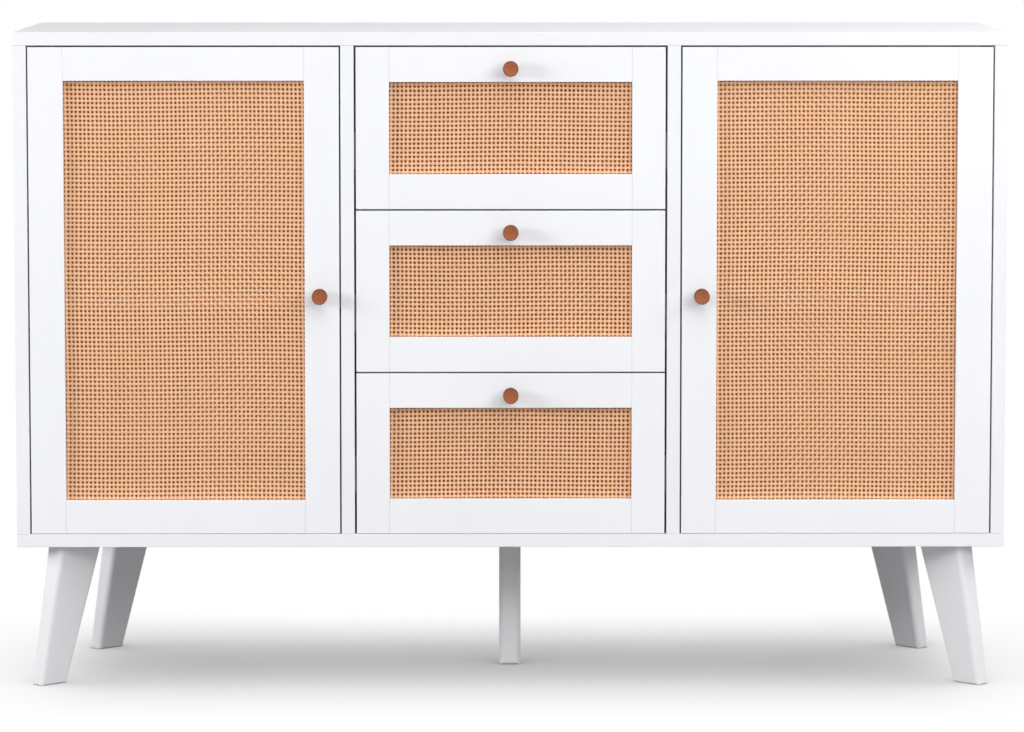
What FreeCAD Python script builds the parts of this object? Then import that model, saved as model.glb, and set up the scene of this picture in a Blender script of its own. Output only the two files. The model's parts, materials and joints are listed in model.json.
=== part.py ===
"""White sideboard with two cane doors, three cane drawers and splayed legs, in millimetres.

+X is to the right of someone facing the doors, +Y runs from the doors to the back, +Z is up.
The origin is on the floor under the middle of the whole piece, knobs included.
"""

import FreeCAD
import Part
import math
import os

Vector = FreeCAD.Vector

# Overall size
WIDTH = 1200.0
DEPTH = 400.0
HEIGHT = 800.0
LEG_HEIGHT = 175.0
BOARD = 16.0
BAYS = 3

# Clearances
REVEAL = 2.0            # gap beside and above the inset doors, and above each drawer front
LOW_REVEAL = 0.5        # gap under the doors and the lowest drawer front
DRAWER_REVEAL = 2.5     # gap beside the drawer fronts
SLOT_PLAY = 0.2         # play of a sheet or tenon in its groove
BORE_PLAY = 0.1         # radial play of a shelf pin or hinge cup in its bore
RUNNING_PLAY = 0.05     # radial play of the hinge arm's eye on the pin
EDGE_EASE = 0.4         # chamfer along the visible edges

# Back panels, slid into grooves
BACK_SHEET = 3.0
BACK_INSET = 12.0       # from the rear edge of the boards to the sheet
BACK_GROOVE = 5.0       # depth of the groove

# Framed fronts with a cane sheet in a groove
FRONT = 16.0            # thickness of doors and drawer fronts
DOOR_STILE = 42.0       # width of a door's stiles
DOOR_RAIL = 40.5        # height of a door's rails
DRAWER_STILE = 40.0
DRAWER_RAIL = 42.0
CANE = 2.0
CANE_RECESS = 8.0       # from the front face to the cane
CANE_GROOVE = 5.0

# Knobs
KNOB_DIAMETER = 18.5
KNOB_PROJECTION = 24.0
KNOB_NECK_DIAMETER = 9.0
KNOB_NECK_LENGTH = 9.0
KNOB_INSET = 23.5       # from the edge of the door to its knob's axis
DOOR_KNOB_DROP = 5.0    # below the middle of the door
DRAWER_KNOB_DROP = 25.5  # below the top of the drawer front

# Shelves and their pins
SHELF_RISE = 273.0      # from the floor of the bay to the underside of the shelf
SHELF_SETBACK = 36.0    # from the front of the carcass
SHELF_PLAY = 1.0        # gap at each end of a shelf and behind it
PIN_DIAMETER = 5.0
PIN_HOLE = 8.0          # depth of the pin's hole
PIN_TONGUE = 8.0        # length and width of the tongue under the shelf
PIN_TONGUE_THICK = 3.0
PIN_FRONT = 75.0        # from the carcass front to the first row of holes
PIN_REAR = 75.0         # from the carcass back to the second row

# Hinges: a press-in cup that turns on one pin, on a goose-neck arm
HINGE_FROM_END = 95.0   # from the top and bottom of the door
CUP_DIAMETER = 26.0
CUP_WALL = 0.8
CUP_LAND = 2.0          # wood left between the cup and the cane's groove
PIVOT_DEPTH = 7.5       # from the rear face of the door to the pin
EYE_GAP = 0.9           # between the arm's eye and the floor of the cup
HINGE_PIN = 3.0         # diameter of the pin, riveted into the cup's lugs
EYE_DIAMETER = 5.6      # of the arm and the lugs round the pin
ARM_THICK = 2.0
ARM_TALL = 10.0
LUG_THICK = 2.0
LUG_PLAY = 0.4
PLATE_THICK = 3.0
PLATE_LENGTH = 44.0
PLATE_TALL = 14.0
PLATE_SETBACK = 46.0    # from the carcass front
WING_TALL = 44.0        # the two wings that take the plate's screws
WING_LENGTH = 16.0
NECK_RADIUS = 8.0       # of both bends, to the middle of the arm
NECK_BACK = 42.0        # from the carcass front to the arm's crossing run
NECK_ANGLE = 42.5       # of the run into the cup, away from the door's face

# Drawers
DRAWERS = 3
DRAWER_SIDE = 12.0
DRAWER_SIDE_TALL = 130.0
DRAWER_SIDE_RISE = 20.0   # from the foot of the front to the foot of the side
DRAWER_BACK_GAP = 29.0    # behind the drawer, to the back sheet
DRAWER_BOTTOM = 4.0
DRAWER_BOTTOM_RISE = 8.0  # from the foot of the side
DRAWER_GROOVE = 5.0

# Telescopic runners, three members nested in each other
RUNNER_SPACE = 12.7     # between the divider and the drawer side
RUNNER_SETBACK = 6.0    # behind the rear face of the drawer front
RUNNER_END_GAP = 4.0    # short of the drawer's back
RUNNER_RISE = 50.0      # from the foot of the drawer side to the runner's middle
RUNNER_SHEET = 1.2
OUTER_TALL = 45.0
OUTER_TIP_GAP = 1.5     # from the outer member's flanges to the drawer side
MIDDLE_GAP = 1.2        # from the outer member's web to the middle member's
MIDDLE_TIP_GAP = 1.1    # from the middle member's flanges to the drawer side
INNER_TIP_GAP = 1.4     # from the inner member's flanges to the middle member's web
OUTER_BALL = 3.3        # space for the balls between the outer and middle members
INNER_BALL = 3.8        # space for the balls between the middle and inner members
BALL_PLAY = 0.2
BALL_ROW_WIDTH = 4.0
BALL_ROW_LENGTH = 100.0

# Legs
LEG_TOP_WIDE = 66.0
LEG_TOP_THICK = 28.0
LEG_FOOT_WIDE = 42.0
LEG_FOOT_THICK = 20.0
LEG_TURN = 45.0         # of the broad face, towards the middle of the front
LEG_SPLAY = 33.0        # how far the foot stands outside the head
LEG_ROUND = 6.0         # corners of the section
LEG_EASE = 2.0          # chamfer round the foot
FRONT_LEG_SIDE = 67.0   # from the end of the sideboard to the middle of the leg's head
FRONT_LEG_SETBACK = 45.0
REAR_LEG_SIDE = 115.0
REAR_LEG_SETBACK = 67.0
CENTRE_LEG = 27.0
CENTRE_LEG_ROUND = 7.0
CENTRE_LEG_EASE = 3.0

# Worked-out places
FRONT_Y = (KNOB_PROJECTION - DEPTH) / 2
BACK_Y = FRONT_Y + DEPTH
SIDE_IN = WIDTH / 2 - BOARD                    # inner face of a side panel
BAY = (WIDTH - (BAYS + 1) * BOARD) / BAYS
DIVIDER_IN = BAY / 2                           # face of a divider towards the drawers
DIVIDER_OUT = DIVIDER_IN + BOARD               # face of a divider towards the doors
FLOOR_Z = LEG_HEIGHT + BOARD                   # floor of the bays
CEILING_Z = HEIGHT - BOARD
BACK_FACE_Y = BACK_Y - BACK_INSET - BACK_SHEET
DOOR_WIDE = BAY - 2 * REVEAL
DRAWER_WIDE = BAY - 2 * DRAWER_REVEAL
DOOR_Z0 = FLOOR_Z + LOW_REVEAL
DOOR_Z1 = CEILING_Z - REVEAL
DRAWER_TALL = (DOOR_Z1 - DOOR_Z0 - (DRAWERS - 1) * REVEAL) / DRAWERS
FRONT_REAR_Y = FRONT_Y + FRONT
SHELF_Z = FLOOR_Z + SHELF_RISE
CUP_DEPTH = PIVOT_DEPTH + EYE_DIAMETER / 2 + EYE_GAP + CUP_WALL
PIVOT_X = -SIDE_IN + REVEAL + DOOR_STILE - CANE_GROOVE - CUP_LAND - CUP_DIAMETER / 2
PIVOT_Y = FRONT_REAR_Y - PIVOT_DEPTH
DRAWER_LENGTH = BACK_FACE_Y - FRONT_REAR_Y - DRAWER_BACK_GAP
DRAWER_HALF = BAY / 2 - RUNNER_SPACE           # to the outer face of a drawer side
RUNNER_Y0 = FRONT_REAR_Y + RUNNER_SETBACK
RUNNER_LENGTH = DRAWER_LENGTH - RUNNER_SETBACK - RUNNER_END_GAP
MIDDLE_TALL = OUTER_TALL - 2 * (RUNNER_SHEET + OUTER_BALL)
INNER_TALL = MIDDLE_TALL - 2 * (RUNNER_SHEET + INNER_BALL)
OUTER_REACH = RUNNER_SPACE - OUTER_TIP_GAP
MIDDLE_REACH = RUNNER_SPACE - RUNNER_SHEET - MIDDLE_GAP - MIDDLE_TIP_GAP
INNER_REACH = RUNNER_SPACE - 2 * RUNNER_SHEET - MIDDLE_GAP - INNER_TIP_GAP


def box(x0, x1, y0, y1, z0, z1):
    """A block between two corners."""
    return Part.makeBox(x1 - x0, y1 - y0, z1 - z0, Vector(x0, y0, z0))


def rod(diameter, start, direction, length):
    """A round bar from a start point."""
    return Part.makeCylinder(diameter / 2, length, Vector(*start), Vector(*direction))


def mirrored(shape):
    """The same piece on the other side of the sideboard."""
    return shape.mirror(Vector(0, 0, 0), Vector(1, 0, 0))


def both_sides(shapes):
    """The pieces of the left side followed by their mirror images."""
    return shapes + [mirrored(shape) for shape in shapes]


def eased(shape, y):
    """A piece with its straight edges in the plane y chamfered."""
    edges = [e for e in shape.Edges if all(abs(v.Y - y) < 1e-6 for v in e.Vertexes) and e.Length > FRONT]
    return shape.makeChamfer(EDGE_EASE, edges)


def save(name, shapes):
    """Writes one node, a single solid or a group of separate solids."""
    shape = shapes[0] if len(shapes) == 1 else Part.makeCompound(shapes)
    shape.exportStep(os.path.join("parts", name + ".step"))


def back_grooves():
    """The space of the grooves round the back sheets, one block per bay."""
    blocks = []
    for bay in range(BAYS):
        x0 = -SIDE_IN + bay * (BAY + BOARD)
        blocks.append(box(
            x0 - BACK_GROOVE, x0 + BAY + BACK_GROOVE,
            BACK_FACE_Y, BACK_FACE_Y + BACK_SHEET + SLOT_PLAY,
            FLOOR_Z - BACK_GROOVE, CEILING_Z + BACK_GROOVE))
    return blocks


def back_panels():
    """Three hardboard sheets, each seated against the front wall of its grooves."""
    reach = BACK_GROOVE - SLOT_PLAY
    sheets = []
    for bay in range(BAYS):
        x0 = -SIDE_IN + bay * (BAY + BOARD)
        sheets.append(box(
            x0 - reach, x0 + BAY + reach, BACK_FACE_Y, BACK_FACE_Y + BACK_SHEET,
            FLOOR_Z - reach, CEILING_Z + reach))
    return sheets


def shelf_pin_places():
    """(x of the wall, direction into the bay, y) of the four pins of the left shelf."""
    rows = (FRONT_Y + PIN_FRONT, BACK_Y - PIN_REAR)
    return [(x, way, y) for x, way in ((-SIDE_IN, 1), (-DIVIDER_OUT, -1)) for y in rows]


def pin_shanks(play):
    """The round shanks of the left shelf's pins, or their holes in the wall when play is given."""
    z = SHELF_Z - PIN_TONGUE_THICK / 2
    diameter = PIN_DIAMETER + 2 * play
    return [rod(diameter, (x, y, z), (-way, 0, 0), PIN_HOLE) for x, way, y in shelf_pin_places()]


def shelf_pins():
    """Pins that sit in the walls, each with a flat tongue under the shelf."""
    pins = []
    for (x, way, y), shank in zip(shelf_pin_places(), pin_shanks(0)):
        tongue = box(
            min(x, x + way * PIN_TONGUE), max(x, x + way * PIN_TONGUE),
            y - PIN_TONGUE / 2, y + PIN_TONGUE / 2, SHELF_Z - PIN_TONGUE_THICK, SHELF_Z)
        pins.append(shank.fuse(tongue).removeSplitter())
    return pins


def shelf():
    """The left shelf, lying on its four pins."""
    return eased(box(
        -SIDE_IN + SHELF_PLAY, -DIVIDER_OUT - SHELF_PLAY, FRONT_Y + SHELF_SETBACK, BACK_FACE_Y - SHELF_PLAY,
        SHELF_Z, SHELF_Z + BOARD), FRONT_Y + SHELF_SETBACK)


def upright(x0, x1, tools):
    """A side panel or divider between the bottom and top panels."""
    board = eased(box(x0, x1, FRONT_Y, BACK_Y, FLOOR_Z, CEILING_Z), FRONT_Y)
    return board.cut(tools)


def deck(z0, tools):
    """The top or bottom panel, over the full width."""
    board = eased(box(-WIDTH / 2, WIDTH / 2, FRONT_Y, BACK_Y, z0, z0 + BOARD), FRONT_Y)
    return board.cut(tools)


def leg_heads():
    """(x, y) of the middle of the two left legs at the bottom panel."""
    front = (-WIDTH / 2 + FRONT_LEG_SIDE, FRONT_Y + FRONT_LEG_SETBACK)
    rear = (-WIDTH / 2 + REAR_LEG_SIDE, BACK_Y - REAR_LEG_SETBACK)
    return front, rear


def eased_foot(post, ease):
    """A leg with the edges round its foot chamfered."""
    return post.makeChamfer(ease, [e for e in post.Edges if e.BoundBox.ZMax < ease / 2])


def rounded_along(post, radius):
    """A leg with its long edges rounded."""
    return post.makeFillet(radius, [e for e in post.Edges if e.BoundBox.ZLength > LEG_HEIGHT / 2])


def turned_corners(wide, thick, x, y, z):
    """The corners of a leg's section, turned about its own middle."""
    turn = FreeCAD.Rotation(Vector(0, 0, 1), LEG_TURN)
    signs = ((-1, -1), (1, -1), (1, 1), (-1, 1))
    return [Vector(x, y, z) + turn.multVec(Vector(a * wide / 2, b * thick / 2, 0)) for a, b in signs]


def splayed_leg(x, y):
    """A flat tapered leg of the left side: broad face turned to the middle, foot set outwards and eased."""
    foot = turned_corners(LEG_FOOT_WIDE, LEG_FOOT_THICK, x - LEG_SPLAY, y, 0)
    head = turned_corners(LEG_TOP_WIDE, LEG_TOP_THICK, x, y, LEG_HEIGHT)
    outlines = [foot[::-1], head]
    for a in range(4):
        b = (a + 1) % 4
        outlines.append([foot[a], foot[b], head[b], head[a]])
    faces = [Part.Face(Part.makePolygon(points + points[:1])) for points in outlines]
    block = Part.makeSolid(Part.makeShell(faces))
    return rounded_along(eased_foot(block, LEG_EASE), LEG_ROUND)


def centre_leg():
    """A straight post with round corners under the middle of the bottom panel."""
    half = CENTRE_LEG / 2
    middle = FRONT_Y + DEPTH / 2
    post = box(-half, half, middle - half, middle + half, 0, LEG_HEIGHT)
    return rounded_along(eased_foot(post, CENTRE_LEG_EASE), CENTRE_LEG_ROUND)


def framed_front(x0, x1, z0, z1, stile, rail):
    """Two grooved stiles, two rails with stub tenons, and the cane sheet that the grooves hold."""
    y0 = FRONT_Y + CANE_RECESS
    groove_y1 = y0 + CANE + SLOT_PLAY
    in_x0, in_x1, in_z0, in_z1 = x0 + stile, x1 - stile, z0 + rail, z1 - rail
    groove = box(in_x0 - CANE_GROOVE, in_x1 + CANE_GROOVE, y0, groove_y1, z0, z1)
    stiles = [eased(box(a, b, FRONT_Y, FRONT_REAR_Y, z0, z1), FRONT_Y).cut(groove)
              for a, b in ((x0, in_x0), (in_x1, x1))]
    tenon = CANE_GROOVE - SLOT_PLAY
    slot = box(in_x0 - CANE_GROOVE, in_x1 + CANE_GROOVE, y0, groove_y1,
               in_z0 - CANE_GROOVE, in_z1 + CANE_GROOVE)
    rails = []
    for low, high in ((z0, in_z0), (in_z1, z1)):
        body = eased(box(in_x0, in_x1, FRONT_Y, FRONT_REAR_Y, low, high), FRONT_Y)
        tongue = box(in_x0 - tenon, in_x1 + tenon, y0, y0 + CANE, low, high)
        rails.append(body.fuse(tongue).cut(slot).removeSplitter())
    cane = box(in_x0 - tenon, in_x1 + tenon, y0, y0 + CANE, in_z0 - tenon, in_z1 + tenon)
    return stiles, rails, cane


def knob(x, z):
    """A turned knob: a narrow neck and a flat head."""
    neck = KNOB_NECK_DIAMETER / 2
    head = KNOB_DIAMETER / 2
    steps = ((0, 0), (neck, 0), (neck, KNOB_NECK_LENGTH), (head, KNOB_NECK_LENGTH),
             (head, KNOB_PROJECTION), (0, KNOB_PROJECTION), (0, 0))
    profile = Part.makePolygon([Vector(x + across, FRONT_Y - out, z) for across, out in steps])
    return Part.Face(profile).revolve(Vector(x, FRONT_Y, z), Vector(0, 1, 0), 360)


def hinge_heights():
    """z of the lower and upper hinge of a door."""
    return DOOR_Z0 + HINGE_FROM_END, DOOR_Z1 - HINGE_FROM_END


def hinge_cup(z):
    """A pressed cup of the left door, with two lugs and the pin riveted between them."""
    axis = (0, -1, 0)
    centre = (PIVOT_X, FRONT_REAR_Y, z)
    shell = rod(CUP_DIAMETER, centre, axis, CUP_DEPTH).cut(
        rod(CUP_DIAMETER - 2 * CUP_WALL, centre, axis, CUP_DEPTH - CUP_WALL))
    half = EYE_DIAMETER / 2
    foot = FRONT_REAR_Y - CUP_DEPTH
    for way in (-1, 1):
        near = z + way * (ARM_TALL / 2 + LUG_PLAY)
        far = near + way * LUG_THICK
        shell = shell.fuse(box(
            PIVOT_X - half, PIVOT_X + half, foot, PIVOT_Y + half, min(near, far), max(near, far)))
    reach = ARM_TALL / 2 + LUG_PLAY + LUG_THICK / 2
    pin = rod(HINGE_PIN, (PIVOT_X, PIVOT_Y, z - reach), (0, 0, 1), 2 * reach)
    return shell.fuse(pin).removeSplitter()


def cup_bore(z):
    """The blind hole in the hinge stile, on whose floor the cup sits."""
    return rod(CUP_DIAMETER + 2 * BORE_PLAY, (PIVOT_X, FRONT_REAR_Y, z), (0, -1, 0), CUP_DEPTH)


def hinge_plate(z):
    """The mounting plate on the left side panel: a bar under the arm with a wing above and below."""
    y0 = FRONT_Y + PLATE_SETBACK
    middle = y0 + PLATE_LENGTH / 2
    x1 = -SIDE_IN + PLATE_THICK
    bar = box(-SIDE_IN, x1, y0, y0 + PLATE_LENGTH, z - PLATE_TALL / 2, z + PLATE_TALL / 2)
    wings = box(-SIDE_IN, x1, middle - WING_LENGTH / 2, middle + WING_LENGTH / 2,
                z - WING_TALL / 2, z + WING_TALL / 2)
    return bar.fuse(wings).removeSplitter()


def hinge_arm(z):
    """A strip that lies on the plate, crosses behind the stile, hooks into the cup and turns on its pin."""
    r = NECK_RADIUS
    tail_x = -SIDE_IN + PLATE_THICK + ARM_THICK / 2
    cross_y = FRONT_Y + NECK_BACK
    tail_y = FRONT_Y + PLATE_SETBACK + PLATE_LENGTH
    slope = math.radians(NECK_ANGLE)
    bend_y = cross_y - r * (1 + math.cos(slope))
    run = (bend_y - PIVOT_Y) / math.sin(slope)
    bend_x = PIVOT_X + run * math.cos(slope)
    hook_x = bend_x - r * math.sin(slope)

    def at(x, y):
        return Vector(x, y, z)

    half_turn = (math.pi - slope) / 2
    first_mid = at(tail_x + r * (1 - math.sqrt(0.5)), cross_y + r * (1 - math.sqrt(0.5)))
    hook_mid = at(hook_x + r * math.sin(half_turn), cross_y - r + r * math.cos(half_turn))
    path = Part.Wire([
        Part.LineSegment(at(tail_x, tail_y), at(tail_x, cross_y + r)).toShape(),
        Part.Arc(at(tail_x, cross_y + r), first_mid, at(tail_x + r, cross_y)).toShape(),
        Part.LineSegment(at(tail_x + r, cross_y), at(hook_x, cross_y)).toShape(),
        Part.Arc(at(hook_x, cross_y), hook_mid, at(bend_x, bend_y)).toShape(),
        Part.LineSegment(at(bend_x, bend_y), at(PIVOT_X, PIVOT_Y)).toShape()])
    across = ARM_THICK / 2
    up = ARM_TALL / 2
    corners = [Vector(tail_x - across, tail_y, z - up), Vector(tail_x + across, tail_y, z - up),
               Vector(tail_x + across, tail_y, z + up), Vector(tail_x - across, tail_y, z + up)]
    section = Part.makePolygon(corners + corners[:1])
    strip = path.makePipeShell([section], True, False)
    eye = rod(EYE_DIAMETER, (PIVOT_X, PIVOT_Y, z - up), (0, 0, 1), ARM_TALL)
    bore = rod(HINGE_PIN + 2 * RUNNING_PLAY, (PIVOT_X, PIVOT_Y, z - up), (0, 0, 1), ARM_TALL)
    return strip.fuse(eye).cut(bore).removeSplitter()


def channel(x_web, way, tall, reach, y0, length, z):
    """A folded steel channel: a web on edge with two flanges that point along way."""
    x_tip = x_web + way * reach
    x_in = x_web + way * RUNNER_SHEET
    outside = box(min(x_web, x_tip), max(x_web, x_tip), y0, y0 + length, z - tall / 2, z + tall / 2)
    inner_tall = tall - 2 * RUNNER_SHEET
    inside = box(min(x_in, x_tip), max(x_in, x_tip), y0, y0 + length, z - inner_tall / 2, z + inner_tall / 2)
    return outside.cut(inside)


def outer_member(z):
    """The member screwed to the left divider."""
    return channel(-DIVIDER_IN, 1, OUTER_TALL, OUTER_REACH, RUNNER_Y0, RUNNER_LENGTH, z)


def inner_member(z):
    """The member screwed to the left side of the drawer."""
    return channel(-DRAWER_HALF, -1, INNER_TALL, INNER_REACH, RUNNER_Y0, RUNNER_LENGTH, z)


def middle_member(z):
    """The member between them, with rows of balls outside at its back and inside at its front."""
    x_web = -DIVIDER_IN + RUNNER_SHEET + MIDDLE_GAP
    member = channel(x_web, 1, MIDDLE_TALL, MIDDLE_REACH, RUNNER_Y0, RUNNER_LENGTH, z)
    row_x1 = -DIVIDER_IN + OUTER_REACH
    inner_x0 = -DRAWER_HALF - INNER_REACH
    for way in (-1, 1):
        rows = (
            (row_x1 - BALL_ROW_WIDTH, RUNNER_Y0 + RUNNER_LENGTH - BALL_ROW_LENGTH,
             MIDDLE_TALL / 2, OUTER_TALL / 2 - RUNNER_SHEET - BALL_PLAY),
            (inner_x0, RUNNER_Y0, INNER_TALL / 2 + BALL_PLAY, MIDDLE_TALL / 2 - RUNNER_SHEET))
        for x, y, near, far in rows:
            low, high = sorted((z + way * near, z + way * far))
            member = member.fuse(box(x, x + BALL_ROW_WIDTH, y, y + BALL_ROW_LENGTH, low, high))
    return member.removeSplitter()


def drawer_box(z0):
    """Two grooved sides, the back that stands on the bottom, and the bottom sheet."""
    side_z0 = z0 + DRAWER_SIDE_RISE
    side_z1 = side_z0 + DRAWER_SIDE_TALL
    y1 = FRONT_REAR_Y + DRAWER_LENGTH
    inside = DRAWER_HALF - DRAWER_SIDE
    sheet_z0 = side_z0 + DRAWER_BOTTOM_RISE
    sheet_z1 = sheet_z0 + DRAWER_BOTTOM
    groove = box(-inside - DRAWER_GROOVE, inside + DRAWER_GROOVE, FRONT_REAR_Y, y1,
                 sheet_z0, sheet_z1 + SLOT_PLAY)
    side = box(-DRAWER_HALF, -inside, FRONT_REAR_Y, y1, side_z0, side_z1).cut(groove)
    back = box(-inside, inside, y1 - DRAWER_SIDE, y1, sheet_z1, side_z1)
    reach = inside + DRAWER_GROOVE - SLOT_PLAY
    bottom = box(-reach, reach, FRONT_REAR_Y, y1, sheet_z0, sheet_z1)
    return both_sides([side]), back, bottom


def build_carcass():
    """Boards, back, shelves with their pins, and legs."""
    grooves = back_grooves()
    wall_tools = grooves + pin_shanks(BORE_PLAY)
    side = upright(-WIDTH / 2, -SIDE_IN, wall_tools)
    divider = upright(-DIVIDER_OUT, -DIVIDER_IN, wall_tools)
    save("side_panel_left", [side])
    save("side_panel_right", [mirrored(side)])
    save("divider_left", [divider])
    save("divider_right", [mirrored(divider)])
    save("bottom_panel", [deck(LEG_HEIGHT, grooves)])
    save("top_panel", [deck(CEILING_Z, grooves)])
    for name, sheet in zip(("left", "centre", "right"), back_panels()):
        save("back_panel_" + name, [sheet])
    save("shelf_left", [shelf()])
    save("shelf_right", [mirrored(shelf())])
    save("shelf_pins", both_sides(shelf_pins()))
    for name, head in zip(("front", "rear"), leg_heads()):
        leg = splayed_leg(*head)
        save("leg_" + name + "_left", [leg])
        save("leg_" + name + "_right", [mirrored(leg)])
    save("leg_centre", [centre_leg()])


def build_doors():
    """The left door and its hinges, and their mirror images on the right."""
    x0 = -SIDE_IN + REVEAL
    x1 = x0 + DOOR_WIDE
    (hinge_stile, knob_stile), rails, cane = framed_front(x0, x1, DOOR_Z0, DOOR_Z1, DOOR_STILE, DOOR_RAIL)
    heights = hinge_heights()
    knob_x = x1 - KNOB_INSET
    knob_z = (DOOR_Z0 + DOOR_Z1) / 2 - DOOR_KNOB_DROP
    pieces = {
        "hinge_stile": [hinge_stile.cut([cup_bore(z) for z in heights])],
        "knob_stile": [knob_stile],
        "rails": rails,
        "cane": [cane],
        "knob": [knob(knob_x, knob_z)],
        "hinge_cups": [hinge_cup(z) for z in heights]}
    for name, solids in pieces.items():
        save("door_left_" + name, solids)
        save("door_right_" + name, [mirrored(solid) for solid in solids])
    save("hinge_plates", both_sides([hinge_plate(z) for z in heights]))
    save("hinge_arms", both_sides([hinge_arm(z) for z in heights]))


def build_drawers():
    """Three equal drawers, one above the other, on telescopic runners."""
    outer_members = []
    for number, name in enumerate(("bottom", "middle", "top")):
        z0 = DOOR_Z0 + number * (DRAWER_TALL + REVEAL)
        z1 = z0 + DRAWER_TALL
        stiles, rails, cane = framed_front(
            -DRAWER_WIDE / 2, DRAWER_WIDE / 2, z0, z1, DRAWER_STILE, DRAWER_RAIL)
        sides, back, bottom = drawer_box(z0)
        runner_z = z0 + DRAWER_SIDE_RISE + RUNNER_RISE
        pieces = {
            "front_stiles": stiles,
            "front_rails": rails,
            "cane": [cane],
            "knob": [knob(0, z1 - DRAWER_KNOB_DROP)],
            "sides": sides,
            "back": [back],
            "floor": [bottom],
            "inner_runners": both_sides([inner_member(runner_z)]),
            "middle_runners": both_sides([middle_member(runner_z)])}
        for piece, solids in pieces.items():
            save("drawer_" + name + "_" + piece, solids)
        outer_members += both_sides([outer_member(runner_z)])
    save("outer_runners", outer_members)


os.makedirs("parts", exist_ok=True)
build_carcass()
build_doors()
build_drawers()
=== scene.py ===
"""Looks of a white sideboard with woven cane doors and drawers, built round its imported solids."""

import json
import math

import bpy
import numpy as np
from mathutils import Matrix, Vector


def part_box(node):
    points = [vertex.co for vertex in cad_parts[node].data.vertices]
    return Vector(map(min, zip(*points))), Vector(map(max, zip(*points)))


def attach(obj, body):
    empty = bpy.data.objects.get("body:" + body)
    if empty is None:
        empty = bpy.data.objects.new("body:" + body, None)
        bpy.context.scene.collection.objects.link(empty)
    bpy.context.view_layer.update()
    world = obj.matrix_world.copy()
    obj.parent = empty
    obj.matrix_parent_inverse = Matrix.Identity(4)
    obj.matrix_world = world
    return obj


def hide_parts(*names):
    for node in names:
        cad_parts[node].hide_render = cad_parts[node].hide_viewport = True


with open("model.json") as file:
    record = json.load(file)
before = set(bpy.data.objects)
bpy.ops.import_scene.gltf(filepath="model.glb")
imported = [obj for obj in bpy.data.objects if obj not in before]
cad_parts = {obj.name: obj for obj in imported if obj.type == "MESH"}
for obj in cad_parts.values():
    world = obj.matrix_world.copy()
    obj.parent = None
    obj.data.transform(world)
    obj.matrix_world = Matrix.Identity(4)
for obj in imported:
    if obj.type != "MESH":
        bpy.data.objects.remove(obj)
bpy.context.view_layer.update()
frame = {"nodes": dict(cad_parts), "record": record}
record = frame["record"]
bodies = record["behaviour"]["bodies"]
body_of_node = {node: body for body, members in bodies.items() for node in members}
slot_of_node = {part["node"]: part["material_slot"] for part in record["subparts"]}

# Weave of the cane, in metres where no note says otherwise
HOLE_PITCH_X = 0.00505
HOLE_PITCH_Z = 0.00537
UPRIGHT_STRAND_WIDE = 0.0035
CROSS_STRAND_WIDE = 0.0038
DRAWER_STRAND_SHARE = 0.955  # of the width of a door's strand
STRAND_THICK = 0.0007
WEAVE_RISE = 0.00032
STRAND_WANDER = 0.00012
SHEET_DRIFT = 0.0006
SHEET_DRIFT_LENGTH = 0.29
FRAME_GROOVE = 0.0048
STRAND_WIDE_SPREAD = 0.05    # share by which strands differ in width
STRAND_FLAT = 0.37           # half the flat of a strand's section, as a share of its width
HOLE_SHADE_AT_CROSSING = 0.2      # as a share of the painted brown shade beside a hole
WEAVE_SEED = 11

# Knobs, in metres where no note says otherwise
KNOB_RIM_ROUND = 0.0006
KNOB_DISH = 0.0005
KNOB_NECK_FLARE = 0.0018
KNOB_SEAT_POLE = 0.0001      # radius that the cap in the seat closes
KNOB_NECK_SHARE = 0.486      # of the head's radius
KNOB_NECK_LENGTH = 0.375     # of the knob's length
KNOB_DARK_REFLECTION_FROM = 0.8         # share of the head's radius where the painted dark reflection on the rim starts
KNOB_RING = 48
FACE_POLE = 0.02             # share of a round face's radius that its cap closes

# Studio, in metres and radians, with the lens in millimetres
FLOOR_SHADE = 0.84
FLOOR_SHADE_REACH = 0.29
FLOOR_SHADE_LEAN = 0.34
FLOOR_SHADE_ENDS = (0.48, 0.64)
FLOOR_SHADE_PAST_ENDS = 0.35
FLOOR_TONE = (0.36, 0.36, 0.36, 1)
FLOOR_HALF = 60.0
WORLD_LIGHT = 0.20
LAMP_AIM = (0.0, -0.19, 0.5)
CAMERA_PLACE = (-0.0332, -6.138, 0.9864)
CAMERA_LENS = 173.44
CAMERA_TILT = 0.09888
CAMERA_TURN = -0.00585

# Bearing and elevation of each lamp in degrees, its distance, width and height in metres, and its level
LAMPS = {
    "broad_front_lamp": (8, 38, 4.2, 4.2, 3.0, 0.455),
    "low_left_lamp": (-60, 11, 3.4, 1.0, 0.8, 0.275),
    "low_right_lamp": (36, 14, 3.4, 1.2, 1.0, 0.225),
    "overhead_lamp": (70, 78, 2.6, 2.4, 1.4, 0.262),
    "left_end_lamp": (-78, 12, 2.8, 1.2, 1.0, 0.21),
    "right_end_lamp": (74, 30, 2.4, 1.0, 1.0, 0.28),
    "rear_left_lamp": (-150, 4, 3.0, 1.4, 0.8, 0.30),
    "rear_right_lamp": (150, 4, 3.0, 1.4, 0.8, 0.30)}

# Screw heads and hinge plates, in metres where no note says otherwise
SCREW_RADIUS = 0.0036
SCREW_RISE = 0.0016
SCREW_CROSS_HALF = 0.00055
SCREW_CROSS_REACH = 0.0023
SCREW_CROSS_DEEP = 0.0011
PLATE_THICK = 0.003
PLATE_TALL = 0.044
PLATE_SCREW_SPACING = 0.030
SCREW_LIP_SHARE = 0.25       # upright edge of the head, as a share of the rise
SCREW_DOME_POWER = 2.5
SCREW_ROWS = 20
SCREW_RING = 64

# White paint: depth of its peel, and reach of the painted shade in the joints and narrow gaps between
# parts, in metres
PAINT_PEEL = 0.00003
JOINT_SHADE_REACH = 0.0006

FRONTS = ("door_left", "door_right", "drawer_bottom", "drawer_middle", "drawer_top")


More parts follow.
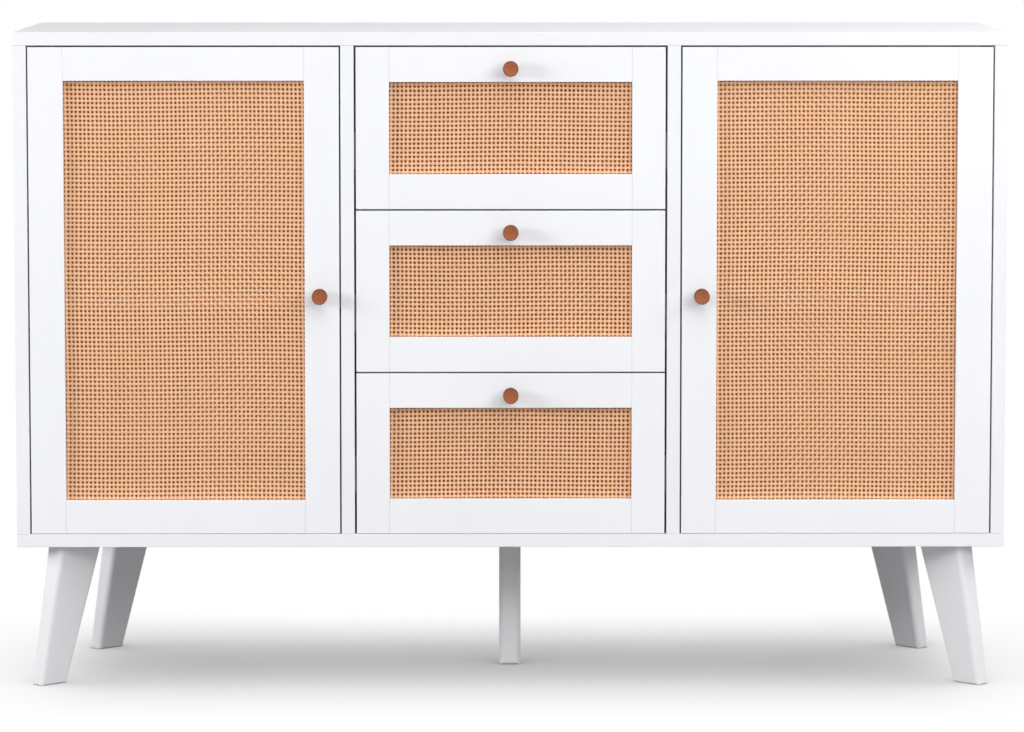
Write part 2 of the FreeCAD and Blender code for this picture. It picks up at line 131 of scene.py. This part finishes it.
def linear(red, green, blue):
    """A display colour of 0 to 255 as linear light, with full alpha."""
    share = np.array([red, green, blue]) / 255
    light = np.where(share <= 0.04045, share / 12.92, ((share + 0.055) / 1.055) ** 2.4)
    return (*light.tolist(), 1.0)


# Meshes


def quads_of_tube(rows, ring):
    """Indices of the quads of a tube of rows rings, each with ring points, closed by end caps.

    The side quad at row r and place p joins p and p + 1 of rows r and r + 1. A cap is a strip of quads
    from the ring's first point to each pair of the points after it, so ring is even.
    """
    r, p = np.meshgrid(np.arange(rows - 1), np.arange(ring), indexing="ij")
    after = (p + 1) % ring
    near, far = r * ring, (r + 1) * ring
    side = np.stack([near + p, near + after, far + after, far + p], -1).reshape(-1, 4)
    first = 1 + 2 * np.arange((ring - 2) // 2)
    fan = np.stack([np.zeros_like(first), first, first + 1, first + 2], -1)
    return np.concatenate([side, fan[:, ::-1], fan + (rows - 1) * ring])


def piece_from(name, points, quads, finish, node, smooth=True):
    """An object at the origin with these points, quads and finish, which rides on the node's body."""
    mesh = bpy.data.meshes.new(name)
    mesh.vertices.add(len(points))
    mesh.vertices.foreach_set("co", np.ascontiguousarray(points, np.float32).ravel())
    mesh.loops.add(quads.size)
    mesh.loops.foreach_set("vertex_index", np.ascontiguousarray(quads, np.int32).ravel())
    mesh.polygons.add(len(quads))
    mesh.polygons.foreach_set("loop_start", np.arange(0, quads.size, 4, dtype=np.int32))
    mesh.polygons.foreach_set("use_smooth", np.full(len(quads), smooth))
    mesh.update(calc_edges=True)
    mesh.validate()
    mesh.materials.append(finish)
    piece = bpy.data.objects.new(name, mesh)
    bpy.context.scene.collection.objects.link(piece)
    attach(piece, body_of_node[node])
    return piece


def point_values(piece, name, values):
    """Stores one number for each point of the piece, for its material to read."""
    layer = piece.data.attributes.new(name, "FLOAT", "POINT")
    layer.data.foreach_set("value", np.ascontiguousarray(values, np.float32).ravel())


def turned(profile, ring):
    """Points of a profile of (distance along an axis, radius) turned round it, ring points to a turn.

    Point (row, k) lies at the row's distance along the axis, and off it by the radius times (cos, sin)
    of 2 pi k / ring.
    """
    angle = 2 * np.pi * np.arange(ring) / ring
    along = np.repeat(profile[:, :1], ring, 1)
    return np.stack([along, profile[:, 1:] * np.cos(angle), profile[:, 1:] * np.sin(angle)], -1)


# Materials


class Finish:
    """A material being put together: nodes are added by type and joined by socket names."""

    def __init__(self, name):
        self.material = bpy.data.materials.new(name)
        self.material.use_nodes = True
        self.tree = self.material.node_tree
        self.shader = self.tree.nodes["Principled BSDF"]

    def node(self, kind, **settings):
        """A new node, with its attributes or inputs set by name, or linked where a value is a socket."""
        made = self.tree.nodes.new(kind)
        for key, value in settings.items():
            if hasattr(made, key):
                setattr(made, key, value)
        for key, value in settings.items():
            if not hasattr(made, key):
                self.put(made.inputs[key.replace("_", " ")], value)
        return made

    def put(self, socket, value):
        """Links a socket to another, or sets its constant."""
        if isinstance(value, bpy.types.NodeSocket):
            self.tree.links.new(value, socket)
        else:
            socket.default_value = value

    def surface(self, **settings):
        """Sets sockets of the main shader by name, with _ for a space."""
        for key, value in settings.items():
            self.put(self.shader.inputs[key.replace("_", " ")], value)

    def place(self, stretch=(1, 1, 1)):
        """Object coordinates, stretched along each axis."""
        coordinates = self.node("ShaderNodeTexCoord").outputs["Object"]
        return self.node("ShaderNodeMapping", Vector=coordinates, Scale=stretch).outputs["Vector"]

    def noise(self, vector, scale, detail, roughness=0.55):
        """A noise value from 0 to 1 at that many waves to the metre."""
        made = self.node("ShaderNodeTexNoise", Vector=vector, Scale=scale, Detail=detail,
                         Roughness=roughness)
        return made.outputs["Fac"]

    def attribute(self, name):
        """A number stored on the piece's points."""
        return self.node("ShaderNodeAttribute", attribute_name=name).outputs["Fac"]

    def ramp(self, value, *stops):
        """A colour that runs through the stops (place, colour)."""
        made = self.node("ShaderNodeValToRGB", Fac=value)
        for k, (at, colour) in enumerate(stops):
            stop = made.color_ramp.elements[k] if k < 2 else made.color_ramp.elements.new(at)
            stop.position = at
            stop.color = colour
        return made.outputs["Color"]

    def range(self, value, low, high):
        """Maps 0 to 1 onto low to high."""
        return self.node("ShaderNodeMapRange", Value=value, To_Min=low, To_Max=high).outputs["Result"]

    def math(self, operation, a, b):
        """One sum of two numbers or sockets."""
        made = self.node("ShaderNodeMath", operation=operation)
        self.put(made.inputs[0], a)
        self.put(made.inputs[1], b)
        return made.outputs["Value"]

    def tint(self, kind, share, a, b):
        """Two colours mixed in the named way by the share.

        The colours of a mix are its inputs 6 and 7 and its output 2, since the names come more than once.
        """
        made = self.node("ShaderNodeMix", data_type="RGBA", blend_type=kind)
        self.put(made.inputs[0], share)
        self.put(made.inputs[6], a)
        self.put(made.inputs[7], b)
        return made.outputs[2]

    def bump(self, height, depth, strength):
        """A bump of that depth in metres."""
        made = self.node("ShaderNodeBump", Height=height, Distance=depth, Strength=strength)
        return made.outputs["Normal"]


def sprayed_paint(name, colour, shade, roughness):
    """White paint: a faint cloud of tone, painted shade in the joints and narrow gaps, and a peel that
    the roughness follows.
    """
    finish = Finish(name)
    cloud = finish.noise(finish.place(), scale=5.0, detail=2.0)
    fine = finish.noise(finish.place(), scale=620.0, detail=2.0)
    # Painted shade: the base colour turns grey where other surfaces close in within the reach, in joints
    # and narrow gaps
    joint_shade = finish.node("ShaderNodeAmbientOcclusion", samples=8, Distance=JOINT_SHADE_REACH)
    shaded_in_joints = finish.ramp(joint_shade.outputs["AO"], (0.3, linear(184, 184, 188)), (0.95, (1, 1, 1, 1)))
    finish.surface(
        Base_Color=finish.tint("MULTIPLY", 1.0, finish.ramp(cloud, (0.3, shade), (0.7, colour)), shaded_in_joints),
        Roughness=finish.range(fine, roughness - 0.05, roughness + 0.05),
        Specular_IOR_Level=0.05,
        Normal=finish.bump(fine, depth=PAINT_PEEL, strength=0.35))
    return finish.material


def raw_fibreboard():
    """Unpainted fibreboard: brown, with its fibres as light and dark flecks over a slow cloud of tone."""
    finish = Finish("brown_fibreboard")
    cloud = finish.noise(finish.place(), scale=7.0, detail=2.0)
    fleck = finish.noise(finish.place((1, 1, 0.4)), scale=420.0, detail=4.0, roughness=0.7)
    toned = finish.ramp(cloud, (0.3, linear(140, 96, 60)), (0.7, linear(152, 107, 69)))
    dark = finish.ramp(fleck, (0.34, (1, 1, 1, 1)), (0.52, (0, 0, 0, 1)))
    pale = finish.ramp(fleck, (0.56, (0, 0, 0, 1)), (0.72, (1, 1, 1, 1)))
    flecked = finish.tint("MIX", finish.range(dark, 0.0, 0.45), toned, linear(104, 66, 38))
    finish.surface(
        Base_Color=finish.tint("MIX", finish.range(pale, 0.0, 0.4), flecked, linear(186, 142, 98)),
        Roughness=finish.range(fleck, 0.66, 0.8),
        Normal=finish.bump(fleck, depth=0.00006, strength=0.5))
    return finish.material


def woven_cane():
    """Split cane: a painted highlight where it crosses over, painted shade where it dips under, and
    painted brown shade along its edges beside the holes.

    The tone runs between rosy and golden from strand to strand and from place to place, under fine fibres
    and slow patches over the sheet.
    """
    finish = Finish("woven_cane")
    fibre = finish.noise(finish.place(), scale=900.0, detail=2.0)
    patch = finish.noise(finish.place(), scale=16.0, detail=2.0)
    # Painted highlight and shade: each tone is paler where the strand rides high over a crossing and
    # darker where it dips under
    crest = finish.attribute("crest")
    rosy = finish.ramp(crest, (0.0, linear(232, 175, 139)), (1.0, linear(252, 208, 173)))
    golden = finish.ramp(crest, (0.0, linear(229, 177, 134)), (1.0, linear(251, 209, 167)))
    local = finish.range(finish.noise(finish.place(), scale=48.0, detail=1.0), -0.6, 1.1)
    hue = finish.math("ADD", finish.math("MULTIPLY", finish.attribute("tone"), 0.5), local)
    toned = finish.tint("MIX", hue, rosy, golden)
    streaked = finish.tint("MULTIPLY", finish.range(fibre, 0.0, 0.25), toned, linear(226, 196, 172))
    patched = finish.tint("MULTIPLY", finish.range(patch, 0.0, 0.2), streaked, linear(240, 212, 190))
    # Painted shade: towards a strand's edges beside the holes its colour runs to dark brown, standing in
    # for the shade of the holes
    across = finish.attribute("across")
    edge = finish.math("MULTIPLY", across, across)
    painted_hole_shade = finish.ramp(finish.math("MULTIPLY", edge, finish.attribute("beside")),
                        (0.22, (1, 1, 1, 1)), (1.0, (0.16, 0.02, 0.001, 1)),
                        (0.45, (0.76, 0.6, 0.5, 1)), (0.66, (0.38, 0.15, 0.05, 1)))
    finish.surface(
        Base_Color=finish.tint("MULTIPLY", 1.0, patched, painted_hole_shade),
        Roughness=finish.range(fibre, 0.55, 0.72),
        Specular_IOR_Level=0.06,
        Normal=finish.bump(fibre, depth=0.00008, strength=0.5))
    return finish.material


def brushed_copper():
    """Copper-brown metal: fine turning marks, a warm cloud of tarnish, and a painted dark reflection
    round the rim.
    """
    finish = Finish("copper_knob")
    cloud = finish.noise(finish.place(), scale=260.0, detail=3.0)
    marks = finish.noise(finish.place((1, 0.05, 1)), scale=1500.0, detail=2.0)
    metal = finish.ramp(cloud, (0.25, linear(138, 80, 53)), (0.75, linear(152, 94, 66)))
    # The rim value mixes in a dark brown, a painted dark reflection round the head's rim
    finish.surface(
        Base_Color=finish.tint("MIX", finish.attribute("rim"), metal, linear(88, 51, 33)),
        Metallic=1.0,
        Roughness=finish.range(marks, 0.46, 0.6),
        Normal=finish.bump(marks, depth=0.00002, strength=0.4))
    return finish.material


def zinc_steel():
    """Zinc-plated steel: grey with a faint blue spangle and a drawn grain along the runners."""
    finish = Finish("zinc_steel")
    spangle = finish.noise(finish.place(), scale=90.0, detail=3.0)
    drawn = finish.noise(finish.place((1, 0.02, 1)), scale=700.0, detail=2.0)
    finish.surface(
        Base_Color=finish.ramp(spangle, (0.3, linear(150, 154, 160)), (0.7, linear(186, 189, 192))),
        Metallic=1.0,
        Roughness=finish.range(drawn, 0.26, 0.44),
        Normal=finish.bump(drawn, depth=0.00002, strength=0.3))
    return finish.material


def moulded_plastic():
    """Pale plastic of the shelf pins, with a fine moulded texture."""
    finish = Finish("fitting_plastic")
    grain = finish.noise(finish.place(), scale=1200.0, detail=2.0)
    finish.surface(
        Base_Color=finish.ramp(grain, (0.2, linear(214, 216, 218)), (0.8, linear(228, 229, 230))),
        Roughness=finish.range(grain, 0.38, 0.5),
        Normal=finish.bump(grain, depth=0.00002, strength=0.3))
    return finish.material


finishes = {
    "white_board": sprayed_paint("white_board", linear(244, 245, 248), linear(241, 242, 246), 0.62),
    "white_front": sprayed_paint("white_front", linear(246, 247, 250), linear(243, 244, 248), 0.42),
    "brown_fibreboard": raw_fibreboard(),
    "white_leg": sprayed_paint("white_leg", linear(244, 245, 247), linear(241, 242, 245), 0.40),
    "woven_cane": woven_cane(),
    "copper_knob": brushed_copper(),
    "zinc_steel": zinc_steel(),
    "fitting_plastic": moulded_plastic()}


for node, solid in frame["nodes"].items():
    solid.data.materials.clear()
    solid.data.materials.append(finishes[slot_of_node[node]])


# Woven cane


def strands(name, node, along, across, count, pitch, start, cross_pitch, cross_start, wide, phase, draw):
    """One set of parallel strands of a woven sheet, as one piece.

    Strand k lies at start + pitch * k across the sheet. Along it, samples come at every crossing and half
    way between two, and its middle moves out of the sheet by the weave's rise times
    cos(pi * (s + k + phase)), where s counts crossings, so neighbours pass over and under in turn. All
    strands of the set drift sideways together, by the sheet's drift times a sine of the place along them.
    The section is a flat hexagon, the strand's width across and its thickness through the sheet.

    Each point keeps how high its strand crosses (crest), its place across the strand from -1 to 1, how
    near it is to a hole along the strand (beside) and the strand's own tone.
    """
    low, high = (np.array(corner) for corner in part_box(node))
    middle_y = (low[1] + high[1]) / 2
    first = math.ceil((low[along] - cross_start) / cross_pitch * 2)
    last = math.floor((high[along] - cross_start) / cross_pitch * 2)
    s = np.arange(first, last + 1) / 2
    k = np.arange(count)
    offset = start + pitch * k + draw.uniform(-STRAND_WANDER, STRAND_WANDER, count)
    width = wide * draw.uniform(1 - STRAND_WIDE_SPREAD, 1 + STRAND_WIDE_SPREAD, count)
    wave = np.cos(np.pi * (s[None, :] + k[:, None] + phase))
    place = cross_start + cross_pitch * s
    drift = SHEET_DRIFT * np.sin(2 * np.pi * (place / SHEET_DRIFT_LENGTH + draw.uniform(0, 1)))
    turn_across = np.array([0.5, STRAND_FLAT, -STRAND_FLAT, -0.5, -STRAND_FLAT, STRAND_FLAT])
    turn_through = np.array([0.0, 0.5, 0.5, 0.0, -0.5, -0.5])
    shape = (count, len(s), len(turn_across))
    points = np.zeros(shape + (3,))
    points[..., along] = place[None, :, None]
    points[..., across] = (offset[:, None] + drift)[..., None] + width[:, None, None] * turn_across
    points[..., 1] = middle_y - WEAVE_RISE * wave[..., None] + STRAND_THICK * turn_through
    quads = quads_of_tube(len(s), len(turn_across))
    if along == 2:  # an upright strand's section turns the other way round its line
        quads = quads[:, ::-1]
    rings = len(s) * len(turn_across)
    quads = (quads[None] + (np.arange(count) * rings)[:, None, None]).reshape(-1, 4)
    piece = piece_from(name, points.reshape(-1, 3), quads, finishes["woven_cane"], node)
    # The cane's material paints highlight and shade from crest, and brown shade at the holes from across
    # and beside
    point_values(piece, "crest", np.broadcast_to(0.5 + 0.5 * wave[..., None], shape))
    point_values(piece, "across", np.broadcast_to(2 * turn_across, shape))
    beside = HOLE_SHADE_AT_CROSSING + (1 - HOLE_SHADE_AT_CROSSING) * np.sin(np.pi * s) ** 2
    point_values(piece, "beside", np.broadcast_to(beside[None, :, None], shape))
    point_values(piece, "tone", np.broadcast_to(draw.uniform(0, 1, count)[:, None, None], shape))
    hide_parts(node)


def weave_front(front, draw):
    """The upright and cross strands of one front's cane, spaced so that whole holes fill its opening."""
    node = front + "_cane"
    low, high = (np.array(corner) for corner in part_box(node))
    spacing = []
    for axis, wanted in ((0, HOLE_PITCH_X), (2, HOLE_PITCH_Z)):
        opening = high[axis] - low[axis] - 2 * FRAME_GROOVE
        whole = round(opening / wanted)
        pitch = opening / whole
        spacing.append((whole + 2, pitch, low[axis] + FRAME_GROOVE - pitch / 2))
    (columns, pitch_x, start_x), (rows, pitch_z, start_z) = spacing
    share = DRAWER_STRAND_SHARE if front.startswith("drawer") else 1.0
    strands(node + "_upright", node, 2, 0, columns, pitch_x, start_x, pitch_z, start_z,
            UPRIGHT_STRAND_WIDE * share, 0, draw)
    strands(node + "_across", node, 0, 2, rows, pitch_z, start_z, pitch_x, start_x,
            CROSS_STRAND_WIDE * share, 1, draw)


draw = np.random.default_rng(WEAVE_SEED)
for front in FRONTS:
    weave_front(front, draw)


# Knobs


def arc(centre_along, centre_radius, size, start, end, steps):
    """Profile points of (along, radius) on an arc, from a start to an end in degrees.

    A point is the centre plus size times (cos, sin) of its angle.
    """
    angle = np.radians(np.linspace(start, end, steps))
    return np.stack([centre_along + size * np.cos(angle), centre_radius + size * np.sin(angle)], -1)


def knob(front):
    """A turned knob: a flared neck, a head with a rounded rim, and a dished face.

    At a share f of its radius the face lies below its edge by the dish's depth times 1 - f ** 2. The
    other parts of the profile are arcs and straight lines.
    """
    node = front + "_knob"
    low, high = (np.array(corner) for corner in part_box(node))
    length = high[1] - low[1]
    head = (high[0] - low[0]) / 2
    neck = head * KNOB_NECK_SHARE
    back = length * KNOB_NECK_LENGTH
    rim = KNOB_RIM_ROUND
    face = np.linspace(1, FACE_POLE, 8)
    dish = np.stack([length - KNOB_DISH * (1 - face ** 2), (head - rim) * face], -1)
    profile = np.concatenate([
        [[0, KNOB_SEAT_POLE], [0, neck]],
        arc(back - KNOB_NECK_FLARE, neck + KNOB_NECK_FLARE, KNOB_NECK_FLARE, -90, 0, 5),
        [[back, head - rim]],
        arc(back + rim, head - rim, rim, 180, 90, 5)[1:],
        arc(length - rim, head - rim, rim, 90, 0, 6),
        dish])
    shape = turned(profile, KNOB_RING)
    centre = np.array([(low[0] + high[0]) / 2, high[1], (low[2] + high[2]) / 2])
    points = np.stack([shape[..., 1], -shape[..., 0], shape[..., 2]], -1) + centre
    quads = quads_of_tube(len(profile), KNOB_RING)
    points = points.reshape(-1, 3)
    piece = piece_from(front + "_turned_knob", points, quads, finishes["copper_knob"], node)
    share = np.hypot(shape[..., 1], shape[..., 2]) / head
    # Painted dark reflection: the rim value darkens the copper towards the edge of the head
    point_values(piece, "rim", np.clip((share - KNOB_DARK_REFLECTION_FROM) / (1 - KNOB_DARK_REFLECTION_FROM), 0, 1))
    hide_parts(node)


for front in FRONTS:
    knob(front)


# Screws


def screw_heads(name, places, facing, node):
    """Pan heads with a cross recess, as one piece: each stands on its place and faces along an axis.

    A head is a polar grid. Its height at radius r is a lip plus the rise times the square root of
    1 - (r / R) ** power, less the recess, which has its full depth where the smaller of the two distances
    from the cross's middle lines is under the cross's half width, within the cross's reach.
    """
    share = np.concatenate([[1.0], np.linspace(1, FACE_POLE, SCREW_ROWS)])
    radius = SCREW_RADIUS * share
    dome = SCREW_RISE * np.sqrt(1 - share ** SCREW_DOME_POWER)
    dome[1:] += SCREW_RISE * SCREW_LIP_SHARE
    head = turned(np.stack([dome, radius], -1), SCREW_RING)
    aside = np.minimum(np.abs(head[..., 1]), np.abs(head[..., 2]))
    inside = (aside < SCREW_CROSS_HALF) & (radius[:, None] < SCREW_CROSS_REACH)
    head[..., 0] -= SCREW_CROSS_DEEP * inside
    axis, way = facing
    sides = [k for k in range(3) if k != axis]
    points = np.zeros((len(places),) + head.shape)
    points[..., axis] = way * head[..., 0]
    points[..., sides[0]] = head[..., 1]
    points[..., sides[1]] = head[..., 2]
    points += np.array(places)[:, None, None, :]
    quads = quads_of_tube(len(radius), SCREW_RING)
    if (way > 0) == (axis == 1):  # these heads' rings turn the other way round their axis
        quads = quads[:, ::-1]
    starts = np.arange(len(places)) * len(radius) * SCREW_RING
    quads = (quads[None] + starts[:, None, None]).reshape(-1, 4)
    piece = piece_from(name, points.reshape(-1, 3), quads, finishes["zinc_steel"], node, smooth=False)


def plate_screws():
    """Two screws on the wings of each hinge plate, facing into the cupboards."""
    low, high = (np.array(corner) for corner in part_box("hinge_plates"))
    middles = np.array([low[2], high[2]]) + np.array([1, -1]) * PLATE_TALL / 2
    heights = (middles[:, None] + np.array([-1, 1]) * PLATE_SCREW_SPACING / 2).ravel()
    depth = (low[1] + high[1]) / 2
    for side, x, way in (("left", low[0] + PLATE_THICK, 1), ("right", high[0] - PLATE_THICK, -1)):
        places = [(x, depth, z) for z in heights]
        screw_heads(f"hinge_plate_screws_{side}", places, (0, way), "hinge_plates")


def knob_screw(front):
    """The screw that holds a front's knob, with its head on the back of the front."""
    low, high = (np.array(corner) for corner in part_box(front + "_knob"))
    carrier = front + ("_knob_stile" if front.startswith("door") else "_front_rails")
    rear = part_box(carrier)[1][1]
    middle = (low + high) / 2
    screw_heads(front + "_knob_screw", [(middle[0], rear, middle[2])], (1, 1), front + "_knob")


plate_screws()
for front in FRONTS:
    knob_screw(front)


# Floor, light and camera


def seen_share(tree):
    """A socket that is 1 for rays of the camera, in reflections and through glass, and 0 for others."""
    path = tree.nodes.new("ShaderNodeLightPath")
    seen = path.outputs["Is Camera Ray"]
    for other in ("Is Glossy Ray", "Is Transmission Ray"):
        larger = tree.nodes.new("ShaderNodeMath")
        larger.operation = "MAXIMUM"
        tree.links.new(seen, larger.inputs[0])
        tree.links.new(path.outputs[other], larger.inputs[1])
        seen = larger.outputs["Value"]
    return seen


def studio_floor():
    """A wide plain floor, seen white with a soft shade where the sideboard stands close over it.

    The shade is one less the openness overhead, looked for with a lean to the front. It thins out towards
    the two ends of the sideboard.
    """
    finish = Finish("studio_floor")
    tree = finish.tree
    leaning = finish.node("ShaderNodeCombineXYZ", Y=-math.sin(FLOOR_SHADE_LEAN),
                          Z=math.cos(FLOOR_SHADE_LEAN))
    nearness = finish.node("ShaderNodeAmbientOcclusion", samples=12, Distance=FLOOR_SHADE_REACH,
                           Normal=leaning.outputs["Vector"])
    aside = finish.node("ShaderNodeSeparateXYZ", Vector=finish.place()).outputs["X"]
    within = finish.node("ShaderNodeMapRange", interpolation_type="SMOOTHSTEP",
                         Value=finish.math("ABSOLUTE", aside, 0.0), From_Min=FLOOR_SHADE_ENDS[0],
                         From_Max=FLOOR_SHADE_ENDS[1], To_Min=FLOOR_SHADE,
                         To_Max=FLOOR_SHADE * FLOOR_SHADE_PAST_ENDS)
    gloom = finish.math("SUBTRACT", 1.0, nearness.outputs["AO"])
    level = finish.math("SUBTRACT", 1.0, finish.math("MULTIPLY", within.outputs["Result"], gloom))
    white = finish.node("ShaderNodeEmission", Color=(1, 1, 1, 1), Strength=level)
    plain = finish.node("ShaderNodeBsdfDiffuse", Color=FLOOR_TONE)
    either = finish.node("ShaderNodeMixShader", Fac=seen_share(tree))
    tree.links.new(plain.outputs[0], either.inputs[1])
    tree.links.new(white.outputs[0], either.inputs[2])
    tree.links.new(either.outputs[0], tree.nodes["Material Output"].inputs["Surface"])
    tree.nodes.remove(finish.shader)
    mesh = bpy.data.meshes.new("studio_floor")
    corners = FLOOR_HALF * np.array([(-1, -1, 0), (1, -1, 0), (1, 1, 0), (-1, 1, 0)])
    mesh.from_pydata(corners.tolist(), [], [(0, 1, 2, 3)])
    mesh.materials.append(finish.material)
    floor = bpy.data.objects.new("studio_floor", mesh)
    bpy.context.scene.collection.objects.link(floor)


def studio_world():
    """Even light from all round, seen as plain white by the camera and in reflections."""
    world = bpy.data.worlds.new("studio")
    bpy.context.scene.world = world
    world.use_nodes = True
    tree = world.node_tree
    level = tree.nodes.new("ShaderNodeMapRange")
    level.inputs["To Min"].default_value = WORLD_LIGHT
    level.inputs["To Max"].default_value = 1.0
    tree.links.new(seen_share(tree), level.inputs["Value"])
    tree.links.new(level.outputs["Result"], tree.nodes["Background"].inputs["Strength"])
    tree.nodes["Background"].inputs["Color"].default_value = (1, 1, 1, 1)


def softbox(name, azimuth, elevation, distance, wide, tall, level):
    """A soft lamp aimed at the middle of the fronts, from a bearing of 0 in front and 90 at the right.

    The power is pi squared times the distance squared for a level of 1, which shows a white face turned
    to the lamp as white.
    """
    lamp = bpy.data.lights.new(name, "AREA")
    lamp.shape = "RECTANGLE"
    lamp.size = wide
    lamp.size_y = tall
    lamp.energy = level * (math.pi * distance) ** 2
    holder = bpy.data.objects.new(name, lamp)
    turn, rise = math.radians(azimuth), math.radians(elevation)
    away = np.array([math.sin(turn) * math.cos(rise), -math.cos(turn) * math.cos(rise), math.sin(rise)])
    holder.location = np.array(LAMP_AIM) + distance * away
    holder.rotation_euler = (math.pi / 2 - rise, 0, turn)
    bpy.context.scene.collection.objects.link(holder)


def photo_camera():
    """The camera at the photograph's place, tilted down at the sideboard."""
    lens = bpy.data.cameras.new("photo_camera")
    lens.sensor_width = 36.0
    lens.lens = CAMERA_LENS
    lens.clip_end = 200.0
    holder = bpy.data.objects.new("photo_camera", lens)
    holder.location = CAMERA_PLACE
    holder.rotation_euler = (math.pi / 2 - CAMERA_TILT, 0, CAMERA_TURN)
    bpy.context.scene.collection.objects.link(holder)
    bpy.context.scene.camera = holder


studio_floor()
studio_world()
for name, setting in LAMPS.items():
    softbox(name, *setting)
photo_camera()
bpy.context.scene.view_settings.view_transform = "Standard"
